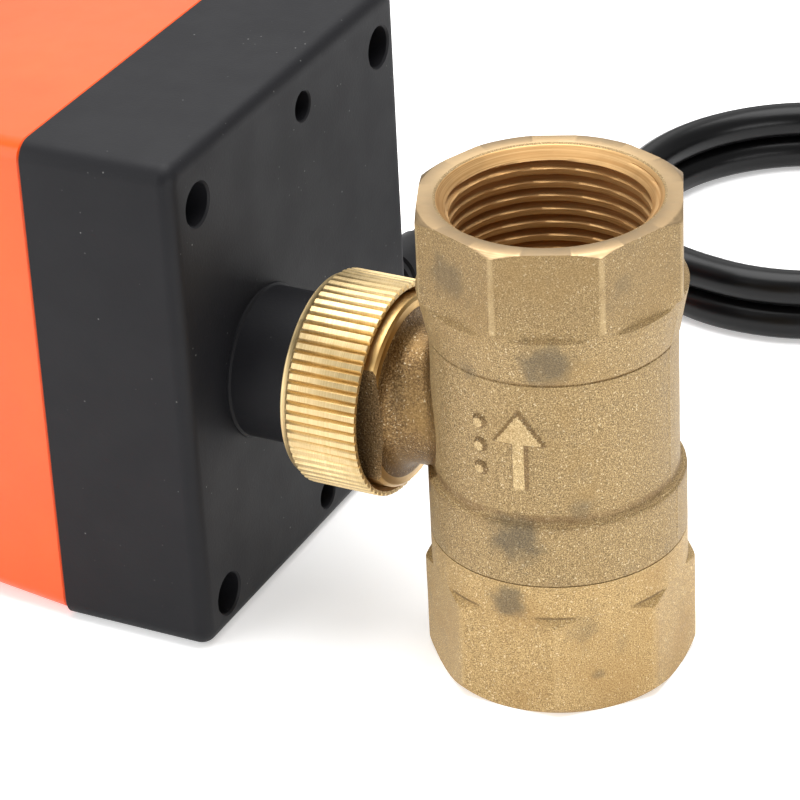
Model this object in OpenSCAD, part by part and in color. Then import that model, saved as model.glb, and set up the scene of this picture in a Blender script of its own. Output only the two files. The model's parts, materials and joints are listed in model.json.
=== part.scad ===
// Motorised two-way zone valve, nominal bore 20 mm.
// A brass ball valve stands on its lower port, with its pipe axis along Z.
// Its stem lies along X, and the electric actuator sits on the -X side, held by a knurled union nut.
// The origin is the centre of the lower port's mouth. Units are millimetres.

/* [Valve body] */
// Length between the two port faces
valve_length = 63.5; // [60:0.5:70]
// Distance across the corners of both octagons
octagon_corner_d = 34; // [33.5:0.1:35]
// Diameter of the round barrel
barrel_d = 30.2; // [29.8:0.1:30.6]
// Diameter of the thicker band above the joint with the end connector
band_d = 31.9; // [31.4:0.1:32.2]
// Height of the joint between the body and the end connector
joint_z = 18.5; // [18:0.5:19]
// Height of the stem axis
stem_z = 32.5; // [32:0.5:33]
// Minor diameter of the G 3/4 pipe thread
port_d = 24.12; // [24:0.01:24.3]
// Depth of the thread in each port
port_depth = 15.5; // [14:0.5:16]

/* [Ball and stem] */
// Diameter of the ball
ball_d = 25; // [24.5:0.1:25.2]
// Diameter of the hole through the ball and the seats
passage_d = 15; // [12:0.5:15.5]
// Diameter of the stem
stem_d = 9; // [8.5:0.1:9.2]
// Width of the square that joins the stem to the drive shaft
drive_square = 5.5; // [5:0.1:5.8]

/* [Union nut] */
// Outer diameter over the knurl
nut_d = 27.4; // [27:0.1:28]
// Length of the nut
nut_length = 10.7; // [10:0.1:11]
// Number of knurl ridges
nut_ridges = 66; // [60:2:80]

/* [Actuator] */
// Depth of the black base
base_depth = 21; // [20:0.5:24]
// Width of the base
base_w = 60; // [60:0.5:62]
// Height of the base
base_h = 68; // [67.5:0.5:69]
// Depth of the orange cover
cover_depth = 30; // [28:0.5:34]
// Draft angle of the cover's four sides
cover_draft = 3.75; // [1:0.25:4]
// Wall thickness of both shells
wall = 2; // [1.8:0.1:2.2]
// Outer diameter of the collar that carries the nut
collar_d = 19.5; // [19.2:0.1:19.6]

/* [Gear train] */
// Gear module
gear_module = 0.5; // [0.5:0.1:0.5]
// Teeth on the output gear
output_teeth = 60; // [60:1:60]
// Teeth on the idler's wheel
idler_teeth = 50; // [50:1:50]
// Teeth on the idler's pinion and on the motor pinion
pinion_teeth = 18; // [18:1:18]

/* [Cable] */
// Diameter of the cable
cable_d = 5.3; // [5:0.1:5.4]
// Mean radius of the two turns that lie behind the valve
coil_r = 28; // [27:0.5:29]

/* [Hidden] */
$fn = 96;
eps = 0.05;

// X positions along the stem axis, all on the negative side.
face_x = -40.5;                          // front face of the actuator base
seam_x = face_x - base_depth;            // joint between base and cover
back_x = seam_x - cover_depth;           // back face of the cover
nut_x1 = -20.8;                          // nut's end near the barrel
nut_x0 = nut_x1 - nut_length;            // nut's end near the actuator
neck_x = -28.2;                          // end face of the neck
neck_back_x = -19.6;                     // back of the neck's threaded flange
neck_thread_r = 12.3;
neck_r = 9;
neck_flat_y = 9.6;                       // half distance between the flange's two cast flats
plate_x = seam_x + 0.5;                  // back of the gear plate
plate_t = 1.5;
plate_front_x = plate_x + plate_t;
bush_flange_x = -37.6;
floor_x = face_x - 2.5;                  // inside of the base's front wall

// Base outline in the YZ plane. The stem isn't in the middle of it.
base_y0 = -19.5;
base_y1 = base_y0 + base_w;
base_z0 = 0;
base_z1 = base_h;
corner_r = 2.5;

// Screw positions as [y, z].
cover_screw_at = [[-13.2, 5.2], [35.2, 5.2], [-13.2, 60.8], [35.2, 60.8]];
plate_screw_at = [[14.1, 4.6], [14.1, 61.7]];
standoff_at = [[-8.5, 14.5], [30.5, 14.5], [-8.5, 53.5], [30.5, 53.5]];
post_r = 4.6;

// Gear centres as [y, z]. Each pair is one centre distance apart.
output_at = [0, stem_z];
output_r = gear_module * output_teeth / 2;
wheel_r = gear_module * idler_teeth / 2;
pinion_r = gear_module * pinion_teeth / 2;
idler_angle = 30;
motor_angle = -60;
idler_at = output_at + (output_r + pinion_r) * [cos(idler_angle), sin(idler_angle)];
motor_shaft_at = idler_at + (wheel_r + pinion_r) * [cos(motor_angle), sin(motor_angle)];
motor_at = [11, 34];
motor_r = 21;
motor_t = 15;
function motor_ear_at(s) = motor_at + s * 24 * [cos(20), sin(20)];

// Layers of the gear train, from the front wall towards the plate.
output_x1 = floor_x - 0.6;
output_x0 = output_x1 - 3.6;
wheel_x1 = output_x0 - 0.4;
wheel_x0 = wheel_x1 - 3;
cam_x1 = wheel_x0 - 0.5;
cam_x0 = cam_x1 - 3.2;

// Chamfer at the upper port's mouth.
mouth_d = 27.5;
mouth_cut = 1.6;

// Ball and seats.
ball_r = ball_d / 2;
seat_r = 11.2;
seat_near = 7.5;                         // seat's inner face above the ball's centre
seat_far = 12.2;                         // seat's outer face above the ball's centre
cavity_r = 13.2;
spigot_r = 13.5;
spigot_top = stem_z - seat_near;

// Circuit board.
pcb_x1 = plate_x - motor_t - 1.4;
pcb_t = 1.6;
pcb_x0 = pcb_x1 - pcb_t;

// Cable. The gland is in the base's +Y wall.
gland_x = -48;
gland_z = 18.5;
boot_end_y = 58;
coil_at = [-9, 112];
// Centre line of the lead, from inside the base to the start of the coil.
lead_route = [
    [-48, 30, 18.5], [-48, 44, 18.5], [-48, 58, 18.5], [-46.8, 68, 17.8], [-42.8, 76, 15.5], [-36.5, 81.8, 12.5],
    [-28.5, 85.3, 9.8], [-22, 85.9, 8.4], [-16.2, 85, 7.95]
];
// Centre line of the tail, from the coil to the stripped end.
tail_route = [[-36, 119.2, 2.65], [-38.4, 111, 2.65], [-40.6, 103, 2.65], [-42.4, 95.5, 2.65]];

// ---- shared shapes ----

// Cylinder along X between two X positions.
module rod_x(x0, x1, r, at = [0, 0], sides = 0) {
    translate([x0, at[0], at[1]]) rotate([0, 90, 0])
        cylinder(h = x1 - x0, r = r, $fn = sides > 0 ? sides : $fn);
}

// Cone along X, with radius r0 at x0 and r1 at x1.
module cone_x(x0, x1, r0, r1, at = [0, 0]) {
    translate([x0, at[0], at[1]]) rotate([0, 90, 0]) cylinder(h = x1 - x0, r1 = r0, r2 = r1);
}

// Straight round rod between two points.
module rod_between(a, b, r) {
    d = b - a;
    translate(a) rotate([0, acos(d[2] / norm(d)), atan2(d[1], d[0])]) cylinder(h = norm(d), r = r, $fn = 24);
}

// Rectangle in 2D with round corners.
module round_rect(y0, y1, z0, z1, r) {
    translate([y0 + r, z0]) square([y1 - y0 - 2 * r, z1 - z0]);
    translate([y0, z0 + r]) square([y1 - y0, z1 - z0 - 2 * r]);
    for (y = [y0 + r, y1 - r], z = [z0 + r, z1 - r]) translate([y, z]) circle(r = r, $fn = 32);
}

// A 2D outline in the YZ plane, extruded along X.
module along_x(x0, x1) {
    translate([x0, 0, 0]) rotate([90, 0, 90]) linear_extrude(x1 - x0) children();
}

// Base outline, inset by a distance.
module base_outline(inset = 0) {
    round_rect(base_y0 + inset, base_y1 - inset, base_z0 + inset, base_z1 - inset, max(corner_r - inset, 0.5));
}

// Octagonal prism with its corners turned off at both ends, as on a lathe.
module turned_octagon(z0, z1, first_corner, low_cut, high_cut) {
    corner_r8 = octagon_corner_d / 2;
    intersection() {
        rotate([0, 0, first_corner]) translate([0, 0, z0]) cylinder(h = z1 - z0, r = corner_r8, $fn = 8);
        union() {
            translate([0, 0, z0]) cylinder(h = low_cut, r1 = corner_r8 - low_cut * 1.8, r2 = corner_r8 + eps);
            translate([0, 0, z0 + low_cut]) cylinder(h = z1 - z0 - low_cut - high_cut, r = corner_r8 + eps);
            translate([0, 0, z1 - high_cut]) cylinder(h = high_cut, r1 = corner_r8 + eps, r2 = corner_r8 - high_cut * 1.8);
        }
    }
}

// Involute function in degrees.
function inv(a) = tan(a) * 180 / PI - a;

// Half of a tooth's angle at radius r, for a gear with n teeth and a little backlash.
function tooth_half_angle(n, r) =
    let (rp = gear_module * n / 2, rb = rp * cos(20), a = r > rb ? acos(rb / r) : 0)
    90 / n - 0.045 / rp * 180 / PI + inv(20) - inv(a);

// Gear outline, with a tooth centred on the given angle.
module gear_outline(n, tooth_at) {
    rp = gear_module * n / 2;
    root = rp - gear_module * 1.25;
    flank = [max(root, rp * cos(20)), rp, rp + gear_module * 0.5, rp + gear_module * 0.95];
    polygon([
        for (t = [0:n - 1], s = [-1, 1])
            let (
                mid = tooth_at + t * 360 / n,
                foot = [mid + s * tooth_half_angle(n, flank[0]), root],
                side = [for (r = flank) [mid + s * tooth_half_angle(n, r), r]],
                run = s < 0 ? concat([foot], side) : concat([for (i = [3:-1:0]) side[i]], [foot])
            )
            each [for (p = run) p[1] * [cos(p[0]), sin(p[0])]]
    ]);
}

// Catmull-Rom point between b and c.
function spline_at(a, b, c, d, t) =
    0.5 * ((2 * b) + (c - a) * t + (2 * a - 5 * b + 4 * c - d) * t * t + (3 * b - a - 3 * c + d) * t * t * t);

// The route's points with one more point between each pair.
function refined(p) = [
    for (i = [0:len(p) - 2], t = [0, 0.5])
        spline_at(p[max(i - 1, 0)], p[i], p[i + 1], p[min(i + 2, len(p) - 1)], t),
    p[len(p) - 1]
];

function unit(v) = v / norm(v);

// Direction of the route at point i.
function heading(p, i) = unit(p[min(i + 1, len(p) - 1)] - p[max(i - 1, 0)]);

// The part of u that is square to the heading t.
function squared(u, t) = unit(u - (u * t) * t);

// Direction of each ring's first corner. It starts upright and turns only as much as the route bends.
function ring_ups(p) = [
    for (i = 0, u = squared([0, 0, 1], heading(p, 0)); i < len(p);
        i = i + 1, u = squared(u, heading(p, min(i, len(p) - 1)))) u
];

// One ring of the swept tube.
function tube_ring(p, i, up, r, sides) =
    let (side = cross(heading(p, i), up))
    [for (k = [0:sides - 1]) p[i] + r * (cos(k * 360 / sides) * up + sin(k * 360 / sides) * side)];

// Tube of one radius swept along a route.
module swept_tube(p, r, sides = 10) {
    n = len(p);
    ups = ring_ups(p);
    polyhedron(
        points = [for (i = [0:n - 1]) each tube_ring(p, i, ups[i], r, sides)],
        faces = concat(
            [[for (k = [0:sides - 1]) k]],
            [for (i = [0:n - 2], k = [0:sides - 1])
                let (a = i * sides + k, b = i * sides + (k + 1) % sides)
                [a, a + sides, b + sides, b]],
            [[for (k = [sides - 1:-1:0]) (n - 1) * sides + k]]
        )
    );
}

// ---- valve ----

// Raised flow arrow on the barrel, cast with the body.
module flow_arrow() {
    arrow_angle = -68;
    relief = 0.35;
    intersection() {
        translate([0, 0, 28]) cylinder(h = 18, r = barrel_d / 2 + relief);
        rotate([0, 0, arrow_angle]) rotate([90, 0, 90]) linear_extrude(20)
            polygon([[-0.9, 31.5], [0.9, 31.5], [0.9, 38], [2.9, 38], [0, 42], [-2.9, 38], [-0.9, 38]]);
    }
}

module valve_body() {
    top_octagon_z = 52.4;
    color("#B99C64") difference() {
        union() {
            turned_octagon(top_octagon_z, valve_length, 0, 0.01, 0.6);
            translate([0, 0, 45.7]) cylinder(h = top_octagon_z - 45.7, r1 = barrel_d / 2, r2 = octagon_corner_d / 2 - 0.5);
            translate([0, 0, 26]) cylinder(h = 20, d = barrel_d);
            translate([0, 0, 26.4]) cylinder(h = 1.1, d1 = band_d, d2 = barrel_d);
            translate([0, 0, joint_z]) cylinder(h = 7.9, d = band_d);
            flow_arrow();
            neck_outside();
        }
        translate([0, 0, valve_length - port_depth]) cylinder(h = port_depth + 1, d = port_d);
        translate([0, 0, valve_length - mouth_cut]) cylinder(h = mouth_cut + eps, d1 = port_d, d2 = mouth_d);
        translate([0, 0, stem_z]) cylinder(h = valve_length - stem_z, d = passage_d + 0.4);
        translate([0, 0, stem_z]) cylinder(h = seat_far, r = seat_r + 0.05);
        translate([0, 0, joint_z - 1]) cylinder(h = stem_z + seat_near - joint_z + 1, r = cavity_r);
        translate([0, 0, joint_z - 1]) cylinder(h = spigot_top - joint_z + 1.6, r = spigot_r + 0.05);
        rod_x(neck_x - 1, 0, stem_d / 2 + 0.05, output_at);
        rod_x(-16.4, -10, 6.15, output_at);
        rod_x(neck_x - 1, -23.2, 7, output_at);
    }
}

// Neck with its threaded flange. Two cast flats cut the flange's sides.
module neck_outside() {
    rod_x(-17, -8, neck_r, output_at);
    intersection() {
        rod_x(neck_x, neck_back_x, neck_thread_r, output_at);
        translate([neck_x - 1, -neck_flat_y, 0]) cube([12, 2 * neck_flat_y, valve_length]);
    }
    intersection() {
        cone_x(neck_back_x, -17, neck_thread_r - 0.8, neck_r, output_at);
        translate([neck_x - 1, -neck_flat_y, 0]) cube([14, 2 * neck_flat_y, valve_length]);
    }
}

module end_connector() {
    color("#C8A569") difference() {
        union() {
            turned_octagon(0, 14, 22.5, 0.6, 0.4);
            cylinder(h = joint_z, d = band_d - 1.2);
            translate([0, 0, 12]) cylinder(h = joint_z - 12, d = band_d);
            translate([0, 0, joint_z - eps]) cylinder(h = spigot_top - joint_z + eps, r = spigot_r);
        }
        translate([0, 0, -1]) cylinder(h = port_depth + 1, d = port_d);
        cylinder(h = stem_z, d = passage_d + 0.4);
        translate([0, 0, stem_z - seat_far]) cylinder(h = seat_far, r = seat_r + 0.05);
        translate([0, 0, joint_z + 0.5]) difference() {
            cylinder(h = 1.4, r = spigot_r + 1);
            translate([0, 0, -1]) cylinder(h = 4, r = spigot_r - 1.3);
        }
    }
}

// O-ring in the groove round the end connector's spigot.
module body_seal() {
    color("#202020") translate([0, 0, joint_z + 1.2])
        rotate_extrude() translate([spigot_r - 0.65, 0]) circle(r = 0.63, $fn = 32);
}

module ball() {
    slot_depth = 3.4;
    slot_w = 5;
    color("#D8D8D4") translate([0, 0, stem_z]) difference() {
        sphere(r = ball_r);
        translate([0, 0, -ball_d]) cylinder(h = 2 * ball_d, d = passage_d);
        translate([-ball_r - 1, -ball_r, -slot_w / 2]) cube([slot_depth + 1, ball_d, slot_w]);
    }
}

// Seat ring above the ball's centre. The ball's side of it is a hollow sphere.
module seat_ring() {
    difference() {
        translate([0, 0, seat_near]) cylinder(h = seat_far - seat_near, r = seat_r);
        cylinder(h = 20, d = passage_d + 0.2);
        sphere(r = ball_r + 0.05);
    }
}

module upper_seat() {
    color("#F4F4F0") translate([0, 0, stem_z]) seat_ring();
}

module lower_seat() {
    color("#F4F4F0") translate([0, 0, stem_z]) mirror([0, 0, 1]) seat_ring();
}

// Stem with the tang that turns the ball, a shoulder that stops it from blowing out, two seal grooves and a square.
module valve_stem() {
    tang_w = 4.8;
    color("#C9A758") {
        difference() {
            rod_x(-24, -12.8, stem_d / 2, output_at);
            for (x = [-18.9, -21.7]) translate([x, 0, 0]) difference() {
                rod_x(0, 1.6, stem_d, output_at);
                rod_x(-1, 3, stem_d / 2 - 1, output_at);
            }
        }
        rod_x(-15.3, -12.8, 6, output_at);
        intersection() {
            rod_x(-13, -9.3, 5.6, output_at);
            translate([-13, -8, stem_z - tang_w / 2]) cube([4, 16, tang_w]);
        }
        translate([-29.2, -drive_square / 2, stem_z - drive_square / 2]) cube([5.4, drive_square, drive_square]);
    }
}

module thrust_washer() {
    color("#F4F4F0") difference() {
        rod_x(-16.35, -15.35, 6.05, output_at);
        rod_x(-17, -15, stem_d / 2 + 0.05, output_at);
    }
}

// Two O-rings in the stem's grooves.
module stem_seals() {
    color("#202020") for (x = [-18.1, -20.9]) translate([x, 0, stem_z]) rotate([0, 90, 0])
        rotate_extrude() translate([stem_d / 2 - 0.45, 0]) circle(r = 0.48, $fn = 32);
}

// ---- union nut ----

module union_nut() {
    ridge_h = 0.55;
    outer_r = nut_d / 2;
    lip = 1.5;
    color("#D9B24E") difference() {
        intersection() {
            along_x(nut_x0, nut_x1) translate(output_at) polygon([
                for (i = [0:2 * nut_ridges - 1])
                    let (r = i % 2 == 0 ? outer_r : outer_r - ridge_h, a = i * 180 / nut_ridges)
                    [r * cos(a), r * sin(a)]
            ]);
            union() {
                cone_x(nut_x0, nut_x0 + 0.8, outer_r - 0.8, outer_r + eps, output_at);
                rod_x(nut_x0 + 0.8, nut_x1 - 0.4, outer_r + eps, output_at);
                cone_x(nut_x1 - 0.4, nut_x1, outer_r + eps, outer_r - 0.4, output_at);
            }
        }
        rod_x(nut_x0 + lip, nut_x1 + 1, neck_thread_r + 0.1, output_at);
        rod_x(nut_x0 - 1, nut_x1, collar_d / 2 + 0.2, output_at);
    }
}

// Split ring in the collar's groove. The nut's lip bears on it.
module nut_retaining_ring() {
    ring_x = nut_x0 + 1.7;
    color("#8C8F92") difference() {
        rod_x(ring_x, ring_x + 0.9, 11.6, output_at);
        rod_x(ring_x - 1, ring_x + 2, collar_d / 2 - 0.7, output_at);
        translate([ring_x - 1, -0.8, stem_z - 13]) cube([4, 1.6, 6]);
    }
}

// ---- actuator shells ----

module actuator_base() {
    collar_end_x = neck_x - 0.2;
    ring_x = nut_x0 + 1.7;
    color("#3C3C40") difference() {
        union() {
            difference() {
                along_x(seam_x, face_x) base_outline();
                along_x(seam_x - 1, floor_x) base_outline(wall);
            }
            intersection() {
                along_x(seam_x, face_x) base_outline();
                union() {
                    for (p = cover_screw_at) rod_x(seam_x, floor_x + eps, post_r, p);
                    for (p = plate_screw_at) rod_x(plate_front_x, floor_x + eps, 3.4, p);
                    for (p = clamp_at) rod_x(gland_x, floor_x + eps, 2.4, p);
                    rod_x(floor_x - 0.5, floor_x + eps, 3, idler_at);
                }
            }
            rod_x(floor_x - 0.4, collar_end_x, collar_d / 2, output_at);
            rod_x(face_x - 1, face_x + 0.4, collar_d / 2 + 0.3, output_at);
        }
        for (p = cover_screw_at) {
            rod_x(seam_x + 5, face_x + 1, 2.75, p);
            rod_x(seam_x - 1, face_x, 1.7, p);
        }
        for (p = plate_screw_at) {
            rod_x(-53, face_x + 1, 1.95, p);
            rod_x(seam_x, face_x, 1.15, p);
        }
        for (p = clamp_at) rod_x(gland_x - 1, gland_x + 3.6, 0.85, p);
        rod_x(bush_flange_x - 0.1, collar_end_x + 1, 7.05, output_at);
        rod_x(floor_x - 1, collar_end_x + 1, 5.5, output_at);
        rod_x(floor_x - 1.5, floor_x + 1, 1.05, idler_at);
        translate([ring_x, 0, 0]) difference() {
            rod_x(-0.05, 0.95, collar_d, output_at);
            rod_x(-1, 3, collar_d / 2 - 0.75, output_at);
        }
        translate([gland_x, base_y1 - wall - 1, gland_z]) rotate([-90, 0, 0]) cylinder(h = 5, r = 4.05);
        gasket_groove(0.05);
    }
}

// Groove for the gasket in the base's rim.
module gasket_groove(gap) {
    difference() {
        along_x(seam_x - gap, seam_x + 0.7 + gap) base_outline(0.6 - gap);
        along_x(seam_x - 1, seam_x + 2) base_outline(1.4 + gap);
    }
}

module cover_gasket() {
    color("#2A2A2A") gasket_groove(0);
}

// Solid with the cover's draft, inset from the outline.
module drafted_block(x0, x1, inset) {
    shrink = (x1 - x0) * tan(cover_draft);
    r = max(corner_r - inset, 0.6);
    hull() {
        for (y = [base_y0 + inset + r, base_y1 - inset - r], z = [base_z0 + inset + r, base_z1 - inset - r])
            rod_x(x1 - 0.01, x1, r, [y, z], 32);
        for (y = [base_y0 + inset + r + shrink, base_y1 - inset - r - shrink],
             z = [base_z0 + inset + r + shrink, base_z1 - inset - r - shrink])
            rod_x(x0, x0 + 0.01, r, [y, z], 32);
    }
}

module actuator_cover() {
    boss_x = back_x + 1;
    color("#F8743C") difference() {
        union() {
            difference() {
                drafted_block(back_x, seam_x, 0.3);
                drafted_block(back_x + wall, seam_x + eps, wall + 0.3);
            }
            intersection() {
                drafted_block(back_x, seam_x, 0.3);
                for (p = cover_screw_at) rod_x(boss_x, seam_x, 4.2, p);
            }
        }
        for (p = cover_screw_at) rod_x(seam_x - 12, seam_x + 1, 1.3, p);
    }
}

// Four long screws from the base's front into the cover.
module cover_screws() {
    color("#B8BCC0") for (p = cover_screw_at) difference() {
        union() {
            rod_x(seam_x + 5, seam_x + 7.2, 2.6, p);
            rod_x(seam_x - 10, seam_x + 5 + eps, 1.45, p);
        }
        for (turn = [0, 90]) translate([seam_x + 6.2, p[0], p[1]]) rotate([turn, 0, 0])
            translate([0, -1.4, -0.3]) cube([2, 2.8, 0.6]);
    }
}

// ---- drive ----

// Shaft with the square socket that takes the stem.
module drive_shaft() {
    color("#C4C6C8") difference() {
        union() {
            rod_x(plate_x, -35, 4, output_at);
            rod_x(-35.6, -24.2, 6.6, output_at);
        }
        translate([-29.6, -drive_square / 2 - 0.1, stem_z - drive_square / 2 - 0.1])
            cube([7, drive_square + 0.2, drive_square + 0.2]);
    }
}

module shaft_bush() {
    color("#D9B24E") difference() {
        union() {
            rod_x(floor_x - 0.4, bush_flange_x + 1, 5.45, output_at);
            rod_x(bush_flange_x, bush_flange_x + 1.3, 7, output_at);
        }
        rod_x(floor_x - 2, -35, 4.05, output_at);
    }
}

module output_gear() {
    color("#E8E4D8") difference() {
        union() {
            along_x(output_x0, output_x1) translate(output_at) gear_outline(output_teeth, idler_angle);
            rod_x(wheel_x0 - 0.3, output_x1, 6, output_at);
        }
        rod_x(wheel_x0 - 1, output_x1 + 1, 4, output_at);
        for (a = [75:60:375]) rod_x(output_x0 - 1, output_x1 + 1, 2.2, output_at + 10 * [cos(a), sin(a)]);
    }
}

// Cam with one ramp for each limit switch. It is high below the axis and on its +Y side at rest.
cam_low = 6;
cam_rise = 1.2;
module switch_cam() {
    function ramp(a) = cam_low + cam_rise * a / 90;
    color("#3A6EA5") difference() {
        along_x(cam_x0, cam_x1) translate(output_at) polygon([
            for (a = [0:6:354])
                let (r = a < 90 ? ramp(90 - a) : a < 180 ? cam_low : a < 270 ? ramp(a - 180) : cam_low + cam_rise)
                [r * cos(a), r * sin(a)]
        ]);
        rod_x(cam_x0 - 1, cam_x1 + 1, 4, output_at);
    }
}

// Idler with a wheel driven by the motor pinion, and a pinion that drives the output gear.
module idler_gear() {
    mesh_output = idler_angle + 180 + 180 / pinion_teeth;
    color("#E8E4D8") difference() {
        union() {
            along_x(wheel_x0, wheel_x1) translate(idler_at) gear_outline(idler_teeth, motor_angle);
            along_x(wheel_x1 - eps, output_x1) translate(idler_at) gear_outline(pinion_teeth, mesh_output);
        }
        rod_x(wheel_x0 - 1, output_x1 + 1, 1.05, idler_at);
    }
}

module idler_pin() {
    color("#B8BCC0") rod_x(plate_x, floor_x + 0.9, 1, idler_at);
}

module motor_pinion() {
    mesh_idler = motor_angle + 180 + 180 / pinion_teeth;
    color("#C4C6C8") {
        along_x(wheel_x0 - 0.3, wheel_x1) translate(motor_shaft_at) gear_outline(pinion_teeth, mesh_idler);
        rod_x(plate_x - 3, wheel_x0, 1.5, motor_shaft_at);
    }
}

// Synchronous motor with its own sealed reduction gear.
module gear_motor() {
    color("#B8BCC0") difference() {
        union() {
            rod_x(plate_x - motor_t, plate_x, motor_r, motor_at);
            for (s = [-1, 1]) hull() {
                rod_x(plate_x - 0.8, plate_x, 3.2, motor_ear_at(s), 32);
                rod_x(plate_x - 0.8, plate_x, 3.2, motor_at + 0.75 * (motor_ear_at(s) - motor_at), 32);
            }
        }
        rod_x(plate_x - 3.5, plate_x + 1, 1.8, motor_shaft_at);
        for (s = [-1, 1]) rod_x(plate_x - 2, plate_x + 1, 1.2, motor_ear_at(s));
    }
}

module gear_plate() {
    color("#A8ABAE") difference() {
        along_x(plate_x, plate_front_x) round_rect(-16.5, 37.5, 2.6, 65.4, 2);
        for (p = cover_screw_at) rod_x(plate_x - 1, plate_front_x + 1, post_r + 0.5, p);
        for (p = plate_screw_at) rod_x(plate_x - 1, plate_front_x + 1, 1, p);
        for (s = [-1, 1]) rod_x(plate_x - 1, plate_front_x + 1, 1, motor_ear_at(s));
        rod_x(plate_x - 1, plate_front_x + 1, 4.05, output_at);
        rod_x(plate_x - 1, plate_front_x + 1, 1, idler_at);
        rod_x(plate_x - 1, plate_front_x + 1, 1.6, motor_shaft_at);
        along_x(plate_x - 1, plate_front_x + 1) round_rect(31, 40, 20, 34, 1.5);
    }
}

// Two screws through the motor's ears into the gear plate.
module motor_screws() {
    color("#B8BCC0") for (s = [-1, 1]) {
        rod_x(plate_x - 2, plate_x - 0.8, 2, motor_ear_at(s));
        rod_x(plate_x - 0.8 - eps, plate_front_x, 1, motor_ear_at(s));
    }
}

// Two screws from the base's front that hold the gear plate on its posts.
module gear_plate_screws() {
    color("#B8BCC0") for (p = plate_screw_at) difference() {
        union() {
            rod_x(-53, -51.6, 1.8, p);
            rod_x(plate_x, -53 + eps, 1, p);
        }
        for (turn = [0, 90]) translate([-52.3, p[0], p[1]]) rotate([turn, 0, 0])
            translate([0, -1, -0.25]) cube([2, 2, 0.5]);
    }
}

// ---- switches ----

// One switch lies below the cam (s = -1) and one above it (s = 1), each with its lever between them.
switch_gap = 2.9;
switch_x0 = cam_x0 - 2.4;
switch_size = [5.8, 12.8, 6.4];
switch_y = -7.5;
lever_tip = cam_low + cam_rise + 0.25;   // roller's distance from the axis while the switch is pressed
lever_pivot_y = -6.5;
lever_swing = 10;
lever_x = (cam_x0 + cam_x1) / 2 - 0.5;
function lever_pivot_z(s) = stem_z + s * (lever_tip + 1.1);
function switch_z(s) = s > 0 ? stem_z + lever_tip + switch_gap : stem_z - lever_tip - switch_gap - switch_size[2];

module limit_switches() {
    color("#1E1E22") for (s = [-1, 1]) {
        ear_z = s > 0 ? stem_z + lever_tip + 0.4 : switch_z(s) + switch_size[2] - eps;
        translate([switch_x0, switch_y, switch_z(s)]) cube(switch_size);
        rod_x(lever_x - 0.9, lever_x + 1.9, 0.6, [lever_pivot_y, lever_pivot_z(s)]);
        for (x = [lever_x - 0.9, lever_x + 1.3])
            translate([x, lever_pivot_y - 0.9, ear_z]) cube([0.6, 1.8, switch_gap - 0.4 + eps]);
    }
}

// Pads that carry the switches on the gear plate.
module switch_pads() {
    color("#E8E4D8") for (s = [-1, 1])
        translate([plate_front_x, switch_y, switch_z(s)])
            cube([switch_x0 - plate_front_x, switch_size[1], switch_size[2]]);
}

// Spring-steel lever that runs over the cam. It hinges on the pin at its -Y end.
module switch_lever(s) {
    pivot_z = lever_pivot_z(s);
    difference() {
        union() {
            translate([lever_x, lever_pivot_y, pivot_z - 0.3]) cube([1, 11, 0.6]);
            rod_x(lever_x - 0.1, lever_x + 1.1, 1, [lever_pivot_y, pivot_z]);
            rod_x(lever_x - 0.3, lever_x + 1.3, 0.8, [0, pivot_z - s * 0.3]);
        }
        rod_x(lever_x - 1, lever_x + 3, 0.65, [lever_pivot_y, pivot_z]);
    }
}

module open_switch_lever() {
    color("#D0D2D4") switch_lever(-1);
}

// At rest this lever is released, so it leans towards the low side of the cam.
module closed_switch_lever() {
    color("#D0D2D4") translate([0, lever_pivot_y, lever_pivot_z(1)]) rotate([-lever_swing, 0, 0])
        translate([0, -lever_pivot_y, -lever_pivot_z(1)]) switch_lever(1);
}

// ---- electronics ----

module circuit_board() {
    color("#2E6B3A") difference() {
        along_x(pcb_x0, pcb_x1) round_rect(-11, 33, 12, 56, 1.5);
        for (p = standoff_at) rod_x(pcb_x0 - 1, pcb_x1 + 1, 1.3, p);
    }
}

module board_standoffs() {
    color("#D9B24E") for (p = standoff_at) difference() {
        rod_x(pcb_x1, plate_x, 2.4, p, 6);
        rod_x(pcb_x1 - 1, pcb_x1 + 6, 1.05, p);
    }
}

module board_screws() {
    color("#B8BCC0") for (p = standoff_at) difference() {
        union() {
            rod_x(pcb_x0 - 1.5, pcb_x0, 2.1, p);
            rod_x(pcb_x0 - eps, pcb_x1 + 5, 1, p);
        }
        for (turn = [0, 90]) translate([pcb_x0 - 1.6, p[0], p[1]]) rotate([turn, 0, 0])
            translate([0, -1.2, -0.25]) cube([0.8, 2.4, 0.5]);
    }
}

module relay() {
    color("#1B4F9C") translate([pcb_x0 - 7.5, -4, 38]) cube([7.5, 15, 11]);
}

// Three-way terminal block with wire entries and screw heads.
module terminal_block() {
    color("#3E8E5A") difference() {
        translate([pcb_x0 - 7, 13, 18]) cube([7, 15, 8]);
        for (i = [0:2]) {
            translate([pcb_x0 - 2.5, 15.5 + 5 * i, 17]) cylinder(h = 5, r = 1.2);
            rod_x(pcb_x0 - 8, pcb_x0 - 5.5, 1.5, [15.5 + 5 * i, 22]);
        }
    }
}

module capacitor() {
    color("#2C2C34") difference() {
        rod_x(pcb_x0 - 7.8, pcb_x0, 4, [20, 44]);
        rod_x(pcb_x0 - 9, pcb_x0 - 7.5, 3, [20, 44]);
    }
}

// ---- cable ----

// Posts that take the clamp's screws, as [y, z].
clamp_at = [[33.2, gland_z - 5.6], [33.2, gland_z + 5.6]];

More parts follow.
